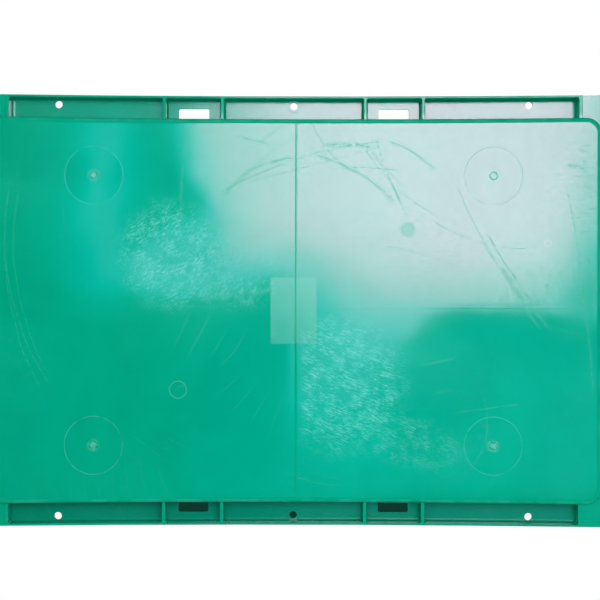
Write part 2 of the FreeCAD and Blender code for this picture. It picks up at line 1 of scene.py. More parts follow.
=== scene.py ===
"""A small green plastic pallet: a glossy deck on blocks and runners, with rubber
grips and steel screws.

It stands on z = 0 and is centred on x and y, with its long side along x; the front
is -y and the right end is +x. The camera looks straight down on it. Lengths are in
metres unless a comment says mm.
"""
import bpy
import bmesh
import json
import math
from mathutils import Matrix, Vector


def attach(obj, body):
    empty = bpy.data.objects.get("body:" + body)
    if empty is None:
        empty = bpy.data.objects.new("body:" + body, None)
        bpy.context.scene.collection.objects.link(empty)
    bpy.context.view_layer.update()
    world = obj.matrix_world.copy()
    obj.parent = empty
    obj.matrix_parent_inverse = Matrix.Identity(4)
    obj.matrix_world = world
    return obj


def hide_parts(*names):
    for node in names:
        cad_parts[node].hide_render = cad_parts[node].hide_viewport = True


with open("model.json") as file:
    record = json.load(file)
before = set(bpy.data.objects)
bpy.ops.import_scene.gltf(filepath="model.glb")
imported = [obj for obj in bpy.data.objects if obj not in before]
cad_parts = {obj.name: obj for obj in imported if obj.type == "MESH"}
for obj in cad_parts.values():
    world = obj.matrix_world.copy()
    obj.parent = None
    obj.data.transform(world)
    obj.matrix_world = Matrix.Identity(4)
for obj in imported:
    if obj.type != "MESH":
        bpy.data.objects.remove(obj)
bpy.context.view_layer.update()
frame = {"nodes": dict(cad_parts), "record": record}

nodes = frame["nodes"]
scene = bpy.context.scene

# ---- view -------------------------------------------------------------------
scene.view_settings.view_transform = "Standard"
scene.view_settings.look = "None"
scene.view_settings.exposure = 0.0
scene.view_settings.gamma = 1.0

# ---- heights ----------------------------------------------------------------
CAMERA_RISE = 1.70            # camera above the lip plane
LIP_Z = 0.135
PANEL_TOP = 140.0             # top of the flat panel, mm
PANEL_Z = PANEL_TOP / 1000.0
CAMERA_Z = LIP_Z + CAMERA_RISE
PANEL_DEPTH = CAMERA_RISE + LIP_Z - PANEL_Z      # from the camera down to the panel
CARD_RISE = 4.0               # reflection card above the panel
# how much larger the card's pattern is than its mirror image on the panel
CARD_ZOOM = (PANEL_DEPTH + CARD_RISE) / PANEL_DEPTH

# ---- the panel's outline, mm: long sides bowed in a little, rounded corners ---
OUT_X, OUT_Y, OUT_BOW, CORNER_R, EDGE_R = 285.0, 179.0, 2.2, 14.5, 5.0
BOW_R = (OUT_X ** 2 + OUT_BOW ** 2) / (2.0 * OUT_BOW)
CORNER_X = OUT_X - CORNER_R
BOW_REACH = math.sqrt((BOW_R + CORNER_R) ** 2 - CORNER_X ** 2)
BOW_Y = OUT_Y - (BOW_R - BOW_REACH + CORNER_R) + BOW_R      # centre of the bow's circle
CORNER_Y = BOW_Y - BOW_REACH
# where the bow meets the corner arc
TANGENT_X = CORNER_X * BOW_R / (BOW_R + CORNER_R)
TANGENT_Y = BOW_Y + (CORNER_Y - BOW_Y) * BOW_R / (BOW_R + CORNER_R)

GATE_X, GATE_Y = 184.5, 124.6     # the four gates lie at +-x, +-y, mm

# ---- the panel's warp ---------------------------------------------------------
# The panel has sunk a little between its ribs: four shallow fields that meet in two
# knit lines near the middle.
KNIT_X, KNIT_Y = 2.5, 3.0         # where the knit lines cross, mm
HALF_X, HALF_Y = 285.0, 177.0     # the warp is zero from here out, mm
KNIT_HALF = 1.3                   # half width of the raised knit lines, mm
# Weights in mm: columns are the seven shapes along x, rows the seven along y.
# The shapes are the crossing itself, then three on the low and three on the high side.
WARP = [[-0.90, 0.17, 0.23, 1.26, 0.24, -0.11, 0.48],
        [-0.65, 0.27, -0.21, -1.60, -0.42, -0.03, 0.37],
        [-0.06, -0.00, 0.03, 0.18, -0.15, 0.12, -0.18],
        [-0.59, -0.42, 0.14, 0.22, -0.53, 0.46, -0.32],
        [0.14, -0.13, -0.17, -0.00, -0.48, -0.22, 0.54],
        [0.24, 0.31, -0.11, -0.67, 0.27, -0.06, -0.21],
        [0.24, -0.54, 0.18, -1.81, -0.08, -0.10, -1.66]]
WARP_SCALE = 0.30
WARP_FROM_Z, WARP_BLEND = 0.1355, 0.004     # the warp sets in over this height
WARP_LIMIT_X, WARP_LIMIT_Y = 0.2851, 0.1795


def shapes(t, knit, half, side=0):
    """Values and slopes of the seven shapes at t; side picks a side on the knit line."""
    low = t < knit or (t == knit and side < 0)
    length = knit + half if low else half - knit
    sign = -1.0 if low else 1.0
    p = min(1.0, abs(t - knit) / length)
    dp = sign / length if p < 1.0 else 0.0
    value = [1 - p * p * (3 - 2 * p)] + [0.0] * 6
    slope = [-(6 * p - 6 * p * p) * dp] + [0.0] * 6
    k = 1 if low else 4
    value[k] = 4 * p * (1 - p)
    slope[k] = (4 - 8 * p) * dp
    value[k + 1] = 10 * p * (1 - p) * (1 - 2 * p)
    slope[k + 1] = 10 * (1 - 6 * p + 6 * p * p) * dp
    value[k + 2] = 16 * p * p * (1 - p) ** 2 - 2 * p * (1 - p)
    slope[k + 2] = (16 * (2 * p * (1 - p) ** 2 - 2 * p * p * (1 - p)) - 2 * (1 - 2 * p)) * dp
    return value, slope


def ridge(distance, height):
    """Height and slope of a raised knit line at a signed distance from it, mm."""
    a = abs(distance) / KNIT_HALF
    if a >= 1:
        return 0.0, 0.0
    sign = 1 if distance > 0 else -1
    return height * (1 - a * a) ** 2, -4 * height * (1 - a * a) * a / KNIT_HALF * sign


def warp(x, y, side_x=0, side_y=0):
    """Height and the slopes along x and y of the panel at x, y, all in mm."""
    value_x, steep_x = shapes(x, KNIT_X, HALF_X, side_x)
    value_y, steep_y = shapes(y, KNIT_Y, HALF_Y, side_y)
    height = slope_x = slope_y = 0.0
    for j, row in enumerate(WARP):
        total = sum(row[i] * value_x[i] for i in range(7))
        total_steep = sum(row[i] * steep_x[i] for i in range(7))
        height += value_y[j] * total * WARP_SCALE
        slope_x += value_y[j] * total_steep * WARP_SCALE
        slope_y += steep_y[j] * total * WARP_SCALE
    # the raised lines die out over the last 12 mm
    fade = (min(1.0, max(0.0, (HALF_Y - abs(y)) / 12.0))
            * min(1.0, max(0.0, (HALF_X - abs(x)) / 12.0)))
    rise, slope = ridge(x - KNIT_X, 0.055 * fade)
    height += rise
    slope_x += slope
    rise, slope = ridge(y - KNIT_Y, (0.008 if x < KNIT_X else 0.003) * fade)
    return height + rise, slope_x, slope_y + slope


def warp_share(z):
    """How much of the warp applies at height z, 0 to 1."""
    return min(1.0, max(0.0, (z - WARP_FROM_Z) / WARP_BLEND))


# ---- node helpers -------------------------------------------------------------
class Field:
    """One node output. Arithmetic on it adds Math nodes to its net."""

    def __init__(self, net, socket):
        self.net = net
        self.socket = socket

    def __add__(self, other):
        return self.net.math("ADD", self, other)

    def __radd__(self, other):
        return self.net.math("ADD", other, self)

    def __sub__(self, other):
        return self.net.math("SUBTRACT", self, other)

    def __rsub__(self, other):
        return self.net.math("SUBTRACT", other, self)

    def __mul__(self, other):
        return self.net.math("MULTIPLY", self, other)

    def __abs__(self):
        return self.net.math("ABSOLUTE", self)

    def remap(self, start, end, first, last):
        return self.net.field("ShaderNodeMapRange",
                              {0: self, 1: start, 2: end, 3: first, 4: last},
                              interpolation_type="SMOOTHSTEP")

    def rise(self, start, end):
        """Smooth step, 0 at start and 1 at end."""
        return self.remap(start, end, 0.0, 1.0)

    def fall(self, start, end):
        """Smooth step, 1 at start and 0 at end."""
        return self.remap(start, end, 1.0, 0.0)

    def split(self):
        parts = self.net.node("ShaderNodeSeparateXYZ", {0: self})
        return [Field(self.net, socket) for socket in parts.outputs]

    def vector(self, operation, other=None, output="Value"):
        inputs = {0: self} if other is None else {0: self, 1: other}
        return self.net.field("ShaderNodeVectorMath", inputs, output, operation=operation)

    def place(self, factors=(1, 1, 1), turn=0, shift=(0, 0, 0)):
        """Turned about z (degrees) first, then multiplied, so factors follow the turned axes."""
        return self.net.field("ShaderNodeMapping", {
            "Vector": self, "Location": [-a for a in shift],
            "Rotation": [0.0, 0.0, -math.radians(turn)],
            "Scale": [1.0 / a for a in factors]}, vector_type="TEXTURE")

    def noise(self, scale, detail=2.0, rough=0.5, bend=0.0):
        return self.net.field("ShaderNodeTexNoise", {
            "Vector": self, "Scale": scale, "Detail": detail, "Roughness": rough,
            "Distortion": bend}, "Fac")

    def bump(self, distance, normal=None):
        inputs = {"Height": self, "Distance": distance, "Strength": 1.0}
        if normal is not None:
            inputs["Normal"] = normal
        return self.net.field("ShaderNodeBump", inputs)


class Net:
    """Builds the nodes of one tree."""

    def __init__(self, tree):
        self.tree = tree
        tree.nodes.clear()

    def put(self, socket, value):
        if isinstance(value, Field):
            self.tree.links.new(value.socket, socket)
        elif isinstance(value, (tuple, list)):
            values = list(value)
            if len(socket.default_value) == 4 and len(values) == 3:
                values.append(1.0)
            socket.default_value = values
        else:
            socket.default_value = value

    def node(self, kind, inputs=None, **props):
        node = self.tree.nodes.new(kind)
        for key, value in props.items():
            setattr(node, key, value)
        for key, value in (inputs or {}).items():
            self.put(node.inputs[key], value)
        return node

    def field(self, kind, inputs=None, output=0, **props):
        return Field(self, self.node(kind, inputs, **props).outputs[output])

    def math(self, operation, first, second=0.0):
        return self.field("ShaderNodeMath", {0: first, 1: second, 2: 0.0}, operation=operation)

    def combine(self, x, y):
        return self.field("ShaderNodeCombineXYZ", {0: x, 1: y, 2: 0.0})

    def coords(self, output="Object"):
        return self.field("ShaderNodeTexCoord", output=output)

    def geometry(self, output):
        return self.field("ShaderNodeNewGeometry", output=output)

    def edge(self):
        """1 on rounded edges, where the surface faces between two of the axes."""
        x, y, z = (abs(part) for part in self.geometry("Normal").split())
        return highest(lowest(x, y), highest(lowest(x, z), lowest(y, z))).rise(0.22, 0.50)

    def shader(self, kind, **inputs):
        return self.field("ShaderNode" + kind,
                          {key.replace("_", " "): value for key, value in inputs.items()})

    def mix_shader(self, amount, base, to):
        return self.field("ShaderNodeMixShader", {0: amount, 1: base, 2: to})

    def finish(self, shader, kind="ShaderNodeOutputMaterial"):
        self.node(kind, {0: shader})


def highest(first, *others):
    for other in others:
        first = first.net.math("MAXIMUM", first, other)
    return first


def lowest(first, second):
    return first.net.math("MINIMUM", first, second)


def exponent(value):
    return value.net.math("EXPONENT", value)


def mix(amount, base, to):
    """Colour that goes from base to another as amount goes from 0 to 1."""
    return amount.net.field("ShaderNodeMix", {0: amount, 6: base, 7: to}, 2, data_type="RGBA")


def new_material(name):
    material = bpy.data.materials.new(name)
    material.use_nodes = True
    return material, Net(material.node_tree)


# ---- marks on the deck ----------------------------------------------------------
# Short marks by kind. Columns: angle in degrees, length, width, noise level where a
# mark begins and where it is full, seed, bend.
STROKES = {
    "right": ((-19, 0.0052, 0.00062, 0.46, 0.74, 3.1, 0.5),
              (-25, 0.0095, 0.00085, 0.52, 0.74, 5.9, 0.5)),
    "left": ((52, 0.0044, 0.00062, 0.46, 0.74, 7.7, 0.5),
             (20, 0.0075, 0.00070, 0.54, 0.74, 1.3, 0.5)),
    "sparse": ((8, 0.030, 0.0010, 0.66, 0.74, 12.3, 0.2),),
    "end": ((4, 0.011, 0.0007, 0.56, 0.70, 2.2, 0.2),),
    "steep": ((86, 0.014, 0.0007, 0.50, 0.70, 8.4, 0.2),),
}

# Long scratches on the panel. Columns: start, middle and end (x, y), half width.
LONG_SCRATCHES = [
    ((-0.061, 0.112), (0.006, 0.141), (0.085, 0.156), 0.0007),
    ((-0.045, 0.118), (0.020, 0.135), (0.075, 0.150), 0.0005),
    ((0.085, 0.157), (0.110, 0.146), (0.131, 0.130), 0.0009),
    ((0.078, 0.152), (0.088, 0.122), (0.106, 0.086), 0.0006),
    ((0.062, 0.158), (0.090, 0.118), (0.128, 0.090), 0.0005),
    ((0.176, 0.074), (0.206, 0.027), (0.224, 0.000), 0.0007),
    ((0.172, 0.066), (0.200, 0.024), (0.219, -0.004), 0.0006),
    ((0.150, 0.120), (0.178, 0.060), (0.220, 0.010), 0.0005),
    ((-0.101, 0.166), (-0.103, 0.118), (-0.106, 0.070), 0.0006),
    ((-0.258, 0.134), (-0.263, 0.027), (-0.247, -0.028), 0.0006),
    ((-0.250, 0.128), (-0.256, 0.030), (-0.236, -0.040), 0.0005),
    ((-0.266, 0.060), (-0.258, -0.010), (-0.240, -0.060), 0.0006),
    ((0.252, 0.110), (0.262, 0.060), (0.266, 0.000), 0.0006),
    ((0.262, 0.034), (0.272, -0.020), (0.276, -0.070), 0.0007),
    ((0.020, 0.166), (0.030, 0.150), (0.052, 0.130), 0.0006),
    ((0.070, 0.060), (0.110, 0.055), (0.150, 0.040), 0.0004),
    ((0.150, -0.094), (0.180, -0.0893), (0.210, -0.086), 0.0005),
    ((0.120, 0.090), (0.170, 0.064), (0.208, 0.058), 0.0004),
    ((-0.0549, 0.1168), (-0.0355, 0.1315), (0.0023, 0.1408), 0.0009),
    ((-0.0521, 0.1601), (-0.0350, 0.1568), (-0.0170, 0.1518), 0.0007),
    ((0.0696, 0.1491), (0.0860, 0.1260), (0.0982, 0.1011), 0.0007),
    ((0.0180, 0.1435), (0.0600, 0.1270), (0.0890, 0.1039), 0.0009),
    ((0.0475, 0.1325), (0.0730, 0.1318), (0.0982, 0.1297), 0.0006),
    ((0.0244, 0.1518), (0.0500, 0.1530), (0.0724, 0.1505), 0.0010),
    ((-0.0900, 0.0292), (-0.0549, 0.0162), (-0.0235, 0.0190), 0.0007),
    ((-0.0835, 0.0070), (-0.0600, 0.0140), (-0.0355, 0.0190), 0.0006),
    ((0.1914, 0.0393), (0.2030, 0.0240), (0.2126, 0.0098), 0.0009),
    ((0.2535, 0.1345), (0.2620, 0.1330), (0.2715, 0.1305), 0.0009),
    ((0.2706, 0.0510), (0.2765, 0.0320), (0.2815, 0.0140), 0.0008),
    ((0.2640, 0.0700), (0.2690, 0.0740), (0.2750, 0.0770), 0.0007),
]


def strokes(point, kind):
    """Mask of short straight marks."""
    marks = []
    for angle, length, width, begin, full, seed, bend in STROKES[kind]:
        stretched = point.place((1.0 / length, 1.0 / width, 1.0 / length), -angle,
                                (seed, seed * 0.7, 0))
        marks.append(stretched.noise(1.0, 2.0, 0.55, bend).rise(begin, full))
    return highest(*marks)


def contours(point, scale, count, width, seed):
    """Fine curved lines that follow the contours of a slow noise."""
    slow = point.place(shift=(seed, -seed, seed)).noise(scale, detail=0.0)
    phase = point.net.math("FRACT", slow * count)
    return abs(phase - 0.5).fall(0.0, width)


def distance_to(flat, x, y):
    return flat.vector("DISTANCE", (x, y, 0.0))


def patch(flat, x, y, radius_x, radius_y, turn=0.0):
    """A soft turned ellipse."""
    cos, sin = math.cos(math.radians(turn)), math.sin(math.radians(turn))
    p = flat.vector("DOT_PRODUCT", (cos / radius_x, -sin / radius_x, 0.0))
    q = flat.vector("DOT_PRODUCT", (sin / radius_y, cos / radius_y, 0.0))
    p = p + -(cos * x - sin * y) / radius_x
    q = q + -(sin * x + cos * y) / radius_y
    return (p * p + q * q).fall(0.20, 1.0)


def long_scratch(flat, wobble, start, middle, end, width):
    """One long scratch: the circle through three points, seen between the outer two."""
    (ax, ay), (bx, by), (cx, cy) = start, middle, end
    a2, b2, c2 = ax * ax + ay * ay, bx * bx + by * by, cx * cx + cy * cy
    d = 2.0 * (ax * (by - cy) + bx * (cy - ay) + cx * (ay - by))
    centre_x = (a2 * (by - cy) + b2 * (cy - ay) + c2 * (ay - by)) / d
    centre_y = (a2 * (cx - bx) + b2 * (ax - cx) + c2 * (bx - ax)) / d
    radius = math.hypot(ax - centre_x, ay - centre_y)
    to_start, to_middle, to_end = (Vector((px - centre_x, py - centre_y, 0.0)).normalized()
                                   for px, py in (start, middle, end))
    end_cos = min(to_start.dot(to_middle), to_end.dot(to_middle))
    arm = flat.vector("SUBTRACT", (centre_x, centre_y, 0.0), "Vector")
    off = arm.vector("LENGTH") + wobble + -radius
    # the main line with fainter ones 1.8 mm apart beside it
    line = flat.net.math("PINGPONG", off, 0.0009).fall(width * 0.30, width * 0.75)
    line = line * abs(off).fall(width * 0.7, width * 3.2)
    along = arm.vector("NORMALIZE", output="Vector").vector("DOT_PRODUCT", tuple(to_middle))
    return line * along.rise(end_cos, end_cos + (1.0 - end_cos) * 0.24)


def curved_marks(point, flat, x, y):
    """Contour-like scratches, the long scratches and the dashes, as one mask."""
    # two fields of dashes towards the right end
    dash = (strokes(point, "end") * x.rise(0.246, 0.270)
            * y.rise(0.055, 0.075) * y.fall(0.150, 0.165))
    dash = highest(dash, strokes(point, "steep") * x.rise(0.150, 0.225)
                   * y.rise(0.052, 0.030) * y.rise(-0.010, 0.010) * 0.8)
    wobble = (point.noise(scale=30.0, detail=1.0) + -0.5) * 0.0030
    scratches = 0.0
    for scratch in LONG_SCRATCHES:
        scratches = highest(long_scratch(flat, wobble, *scratch), scratches)
    scratches = scratches * point.noise(scale=150.0, detail=3.0, rough=0.7).rise(0.36, 0.56)
    wide = (contours(point, scale=3.1, count=30.0, width=0.030, seed=2.0)
            * point.noise(scale=10.0, detail=1.0).rise(0.56, 0.68))
    tight = (contours(point, scale=4.3, count=22.0, width=0.026, seed=9.0)
             * point.noise(scale=13.0, detail=1.0).rise(0.58, 0.68))
    return highest(highest(wide, tight) * 0.60, highest(scratches, dash))


def rubbed_patches(flat, x):
    """The patches that are rubbed most, right and left of the middle."""
    right = highest(patch(flat, 0.044, -0.068, 0.075, 0.080) * x.rise(0.002, 0.010),
                    patch(flat, 0.105, -0.120, 0.070, 0.030, turn=12.0) * 0.6)
    left = highest(patch(flat, -0.112, 0.050, 0.065, 0.062, turn=25.0),
                   patch(flat, -0.055, 0.030, 0.055, 0.040) * 0.7)
    return right, left


def short_marks(point, x, y, area, clump, rub_right, rub_left):
    """Short marks: thin all over, dense in the rubbed patches, slanted by side."""
    slant_right = strokes(point, "right") * (0.20 + clump * 0.80)
    slant_left = strokes(point, "left") * (0.20 + clump * 0.80)
    right_side = (x + y * -0.4).rise(-0.06, 0.04)
    thin = area * 0.16
    return (slant_right * highest(thin * right_side, rub_right)
            + slant_left * highest(thin * (1.0 - right_side), rub_left))


def pin_discs(flat, top):
    """Round marks left by pins."""
    # columns: x, y, inner and outer radius of the soft rim, strength
    first, *others = [
        (0.1052, 0.0748, 0.0066, 0.0072, None),
        (-0.107, -0.0733, 0.0066, 0.0072, 0.25),
        (-0.0137, 0.0091, 0.0030, 0.0036, 0.30),
        (-0.0178, -0.0204, 0.0030, 0.0036, 0.30),
        (-0.0015, -0.0186, 0.0030, 0.0036, 0.30)]
    discs = distance_to(flat, *first[:2]).fall(*first[2:4]) * top
    for x, y, inner, outer, strength in others:
        discs = discs + distance_to(flat, x, y).fall(inner, outer) * top * strength
    return discs


def dull_tilt(net, y, z, abs_x, abs_y):
    """Where small radii, ribs and lips take the mirror away."""
    _, normal_y, normal_z = net.geometry("Normal").split()
    below = z.rise(0.1362, 0.1358)
    tilt = highest(normal_z.rise(0.9990, 0.9935), below * normal_z.rise(0.99995, 0.9990))
    # ribs and lips are crowned, so little of the softbox shows in them
    crown = (below * z.rise(0.1336, 0.1342) * abs_y.rise(0.1815, 0.1820)
             * abs_x.rise(0.2675, 0.2667) * 0.60)
    inner_faces = below * (y * normal_y).rise(-0.003, -0.010)
    return highest(tilt * normal_z.rise(0.20, 0.50), highest(crown, inner_faces))


# ---- plastics -----------------------------------------------------------------
def pocket_floor(z):
    return z.rise(0.1165, 0.1158)


def deck_material():
    material, net = new_material("deck_green_gloss")
    point = net.coords()
    x, y, z = point.split()
    abs_x, abs_y = abs(x), abs(y)
    flat = net.combine(x, y)
    top = z.rise(0.1375, 0.1385)

    # slow flow marks, a little paler where worn
    slow = point.noise(scale=9.0, detail=3.0, rough=0.55, bend=0.6)
    fine = point.noise(scale=55.0, detail=4.0, rough=0.6)
    colour = mix(slow.rise(0.32, 0.68), (0.0, 0.346, 0.198), to=(0.0, 0.384, 0.226))
    colour = mix(fine.rise(0.45, 0.75) * 0.16, colour, to=(0.0, 0.40, 0.27))
    # the rectangle in the middle has another finish
    insert = abs_x.fall(0.0209, 0.0216) * abs_y.fall(0.0304, 0.0311) * top
    colour = mix(insert * 0.16, colour, to=(0.02, 0.45, 0.34))
    discs = pin_discs(flat, top)

    # stress whitening round the four gates
    from_gate = net.combine(abs_x - GATE_X / 1000.0, abs_y - GATE_Y / 1000.0)
    gate_r = from_gate.vector("LENGTH")
    halo = (gate_r.fall(0.0030, 0.0075)
            * point.noise(scale=330.0, detail=2.0, rough=0.6).rise(0.34, 0.60) * top)
    tip = gate_r.fall(0.0010, 0.0030) * top
    colour = mix(highest(halo * 0.16, tip * 0.45), colour, to=(0.16, 0.62, 0.54))
    # the low step round each gate is scuffed along its edge
    ring = (abs(gate_r + -0.0268).fall(0.0002, 0.0007)
            * point.noise(scale=60.0, detail=3.0, rough=0.6).rise(0.30, 0.55) * top)
    colour = mix(ring * 0.30, colour, to=(0.10, 0.60, 0.51))
    # outlines of two ejector marks: centre and radius
    for mark_x, mark_y, radius in ((-0.1065, -0.0732, 0.0078), (0.2345, 0.0624, 0.0030)):
        off = abs(distance_to(flat, mark_x, mark_y) + -radius)
        colour = mix(off.fall(0.0003, 0.0010) * top * 0.22, colour, to=(0.12, 0.62, 0.53))

    # marks
    area = point.noise(scale=6.0, detail=2.0, rough=0.5, bend=0.4).rise(0.40, 0.62)
    clump = point.noise(scale=95.0, detail=3.0, rough=0.65).rise(0.38, 0.64)
    rub_right, rub_left = rubbed_patches(flat, x)
    short = short_marks(point, x, y, area, clump, rub_right, rub_left)
    sparse = strokes(point, "sparse") * point.noise(scale=11.0, detail=1.0).rise(0.52, 0.66)
    curved = curved_marks(point, flat, x, y)
    marks = highest(short, sparse * 0.7, curved)
    rub = highest(rub_right, rub_left)
    colour = mix(short * (0.12 + rub * 0.58), colour, to=(0.22, 0.70, 0.61))
    colour = mix(rub * clump * 0.14, colour, to=(0.06, 0.56, 0.47))
    colour = mix(marks * 0.10, colour, to=(0.05, 0.50, 0.40))
    worn = net.edge() * point.noise(scale=70.0, detail=3.0, rough=0.6).rise(0.35, 0.70)
    colour = mix(worn * 0.40, colour, to=(0.04, 0.48, 0.36))
    # grime in the pockets, and painted shade: a darker tone towards the front there, standing in
    # for the shadow the panel's wall casts on the front pockets
    grime = (z.fall(0.1145, 0.1165)
             * point.noise(scale=40.0, detail=4.0, rough=0.7).rise(0.5, 0.8))
    colour = mix((grime * 0.20 + y.rise(0.05, -0.05) * 0.46) * pocket_floor(z), colour,
                 to=(0.0, 0.20, 0.14))

    grain = point.noise(scale=620.0, detail=2.0, rough=0.6)
    floor = pocket_floor(z)
    roughness = (0.026 + slow.rise(0.3, 0.7) * 0.015 + area * 0.02 + grain * 0.02
                 + highest(short, sparse * 0.5) * 0.16 + curved * 0.22 + worn * 0.18
                 + insert * 0.10 + discs * 0.16 + halo * 0.25 + floor * 0.06)
    # all relief in one bump, heights in micrometres
    relief = (point.noise(scale=14.0, detail=1.0) * 200.0
              + point.noise(scale=260.0, detail=1.0) * 2.6 + grain * 0.8)
    # the pocket floors are rougher
    blots = point.place((1.0, 1.6, 1.0)).noise(scale=190.0, detail=3.0, rough=0.65)
    relief = relief + blots * floor * 36.0

    # fine brushing and the knit line along y take some of the mirror away
    knit = abs(x + -KNIT_X / 1000.0).fall(0.0004, 0.0019) * top
    brush = point.place((150.0, 900.0, 150.0), turn=8).noise(
        scale=1.0, detail=3.0, rough=0.65, bend=0.5)
    shine = (0.540 + brush.rise(0.30, 0.72) * -0.12 + curved * -0.26 + knit * -0.22
             + rub * clump * -0.05)
    shine = highest(shine, 0.05) * (1.0 + dull_tilt(net, y, z, abs_x, abs_y) * -0.98)
    net.finish(net.shader("BsdfPrincipled", Base_Color=colour, Roughness=roughness,
                          Specular_IOR_Level=shine, IOR=1.5, Normal=relief.bump(0.000001)))
    return material


def block_material():
    material, net = new_material("block_green")
    point = net.coords()
    z = point.split()[2]
    green = (0.0, 0.36, 0.215)
    slow = point.noise(scale=12.0, detail=3.0, rough=0.55, bend=0.5).rise(0.3, 0.7)
    colour = mix(slow, tuple(c * 0.94 for c in green), to=tuple(c * 1.05 for c in green))
    # faint vertical draw marks from the mould
    draw = point.place((420.0, 420.0, 14.0)).noise(scale=1.0, detail=2.0)
    colour = mix(draw.rise(0.5, 0.8) * 0.10, colour, to=(0.03, 0.47, 0.33))
    scuff = point.place((26.0, 26.0, 240.0)).noise(scale=1.0, detail=3.0, rough=0.6)
    scuff = scuff.rise(0.60, 0.74) * point.noise(scale=18.0, detail=2.0).rise(0.45, 0.62)
    edge = net.edge() * point.noise(scale=80.0, detail=3.0, rough=0.6).rise(0.30, 0.65)
    colour = mix(scuff * 0.22, colour, to=(0.10, 0.47, 0.35))
    colour = mix(edge * 0.26, colour, to=(0.12, 0.50, 0.38))
    # floor dirt on the lowest few centimetres
    dirt = z.fall(0.0, 0.045) * point.noise(scale=30.0, detail=5.0, rough=0.7).rise(0.36, 0.72)
    colour = mix(dirt * 0.55, colour, to=(0.035, 0.17, 0.115))
    # layering: waves, then grain, then scuffs and draw marks
    waves = point.noise(scale=30.0, detail=1.0).bump(0.00012)
    grain = point.noise(scale=420.0, detail=2.0).bump(0.0000060, waves)
    net.finish(net.shader(
        "BsdfPrincipled", Base_Color=colour, IOR=1.5,
        Roughness=0.24 + slow_again(point, slow) * 0.06 + scuff * 0.2 + edge * 0.15 + dirt * 0.25,
        Normal=(scuff + draw * 0.5).bump(0.0000090, grain)))
    return material


def slow_again(point, slow):
    """The same step of the slow noise once more, as a node of its own."""
    source = slow.socket.node.inputs[0].links[0].from_socket
    return Field(point.net, source).rise(0.3, 0.7)


def runner_material():
    material, net = new_material("runner_green")
    point = net.coords()
    z = point.split()[2]
    slow = point.noise(scale=10.0, detail=3.0, rough=0.55, bend=0.5).rise(0.3, 0.7)
    colour = mix(slow, (0.0, 0.325, 0.195), to=(0.0, 0.375, 0.23))
    # long scrapes run along the runner
    scrape = point.place((7.0, 260.0, 200.0)).noise(scale=1.0, detail=3.0, rough=0.6)
    scrape = scrape.rise(0.56, 0.70) * point.noise(scale=11.0, detail=2.0).rise(0.42, 0.60)
    edge = net.edge() * point.noise(scale=60.0, detail=3.0, rough=0.6).rise(0.25, 0.60)
    colour = mix(scrape * 0.42, colour, to=(0.14, 0.46, 0.35))
    colour = mix(edge * 0.42, colour, to=(0.14, 0.49, 0.38))
    # dirt, mostly near the floor
    dirt = ((z.fall(0.002, 0.020) * 0.8 + 0.12)
            * point.noise(scale=26.0, detail=5.0, rough=0.72).rise(0.34, 0.70))
    colour = mix(dirt * 0.75, colour, to=(0.045, 0.13, 0.09))
    waves = point.noise(scale=24.0, detail=1.0).bump(0.00014)
    grain = point.noise(scale=420.0, detail=2.0).bump(0.0000070, waves)
    net.finish(net.shader(
        "BsdfPrincipled", Base_Color=colour, IOR=1.5,
        Roughness=0.30 + slow_again(point, slow) * 0.06 + scrape * 0.22 + edge * 0.12 + dirt * 0.25,
        Normal=scrape.bump(-0.0000200, grain)))
    return material


def rubber_material():
    material, net = new_material("grip_rubber_black")
    point = net.coords()
    slow = point.noise(scale=60.0, detail=4.0, rough=0.6)
    dust = point.noise(scale=160.0, detail=5.0, rough=0.7).rise(0.45, 0.75)
    colour = mix(slow.rise(0.3, 0.7), (0.014, 0.015, 0.015), to=(0.030, 0.031, 0.031))
    colour = mix(dust * 0.45, colour, to=(0.16, 0.155, 0.14))
    colour = mix(net.edge() * 0.35, colour, to=(0.10, 0.10, 0.095))
    grain = point.noise(scale=500.0, detail=3.0, rough=0.6).bump(0.00004)
    net.finish(net.shader("BsdfPrincipled", Base_Color=colour, Roughness=0.62 + dust * 0.25,
                          IOR=1.5, Normal=grain))
    return material


def screw_material():
    material, net = new_material("screw_zinc")
    point = net.coords()
    slow = point.noise(scale=180.0, detail=3.0, rough=0.6)
    colour = mix(slow.rise(0.3, 0.7), (0.50, 0.51, 0.50), to=(0.66, 0.66, 0.63))
    spots = point.noise(scale=420.0, detail=3.0, rough=0.6).rise(0.60, 0.75)
    colour = mix(spots * 0.5, colour, to=(0.30, 0.27, 0.22))
    grain = point.noise(scale=900.0, detail=2.0).bump(0.000012)
    net.finish(net.shader("BsdfPrincipled", Base_Color=colour, Metallic=1.0,
                          Roughness=0.28 + slow * 0.16 + spots * 0.3, Normal=grain))
    return material


materials = {
    "deck_plastic": deck_material(),
    "block_plastic": block_material(),
    "runner_plastic": runner_material(),
    "grip_rubber": rubber_material(),
    "screw_steel": screw_material(),
}
slots = {part["node"]: part["material_slot"] for part in frame["record"]["subparts"]}
for name, piece in nodes.items():
    for slot in piece.material_slots:
        slot.material = materials[slots[name]]


def add_object(name, data):
    added = bpy.data.objects.new(name, data)
    scene.collection.objects.link(added)
    return added


# ---- deck with its warped panel -------------------------------------------------
def outline_gap(x, y):
    """How far x, y lies inside the panel's outline, mm."""
    x, y = abs(x), abs(y)
    if x > CORNER_X and y > CORNER_Y:
        return CORNER_R - math.hypot(x - CORNER_X, y - CORNER_Y)
    return min(OUT_X - x, math.hypot(x, BOW_Y - y) - BOW_R)


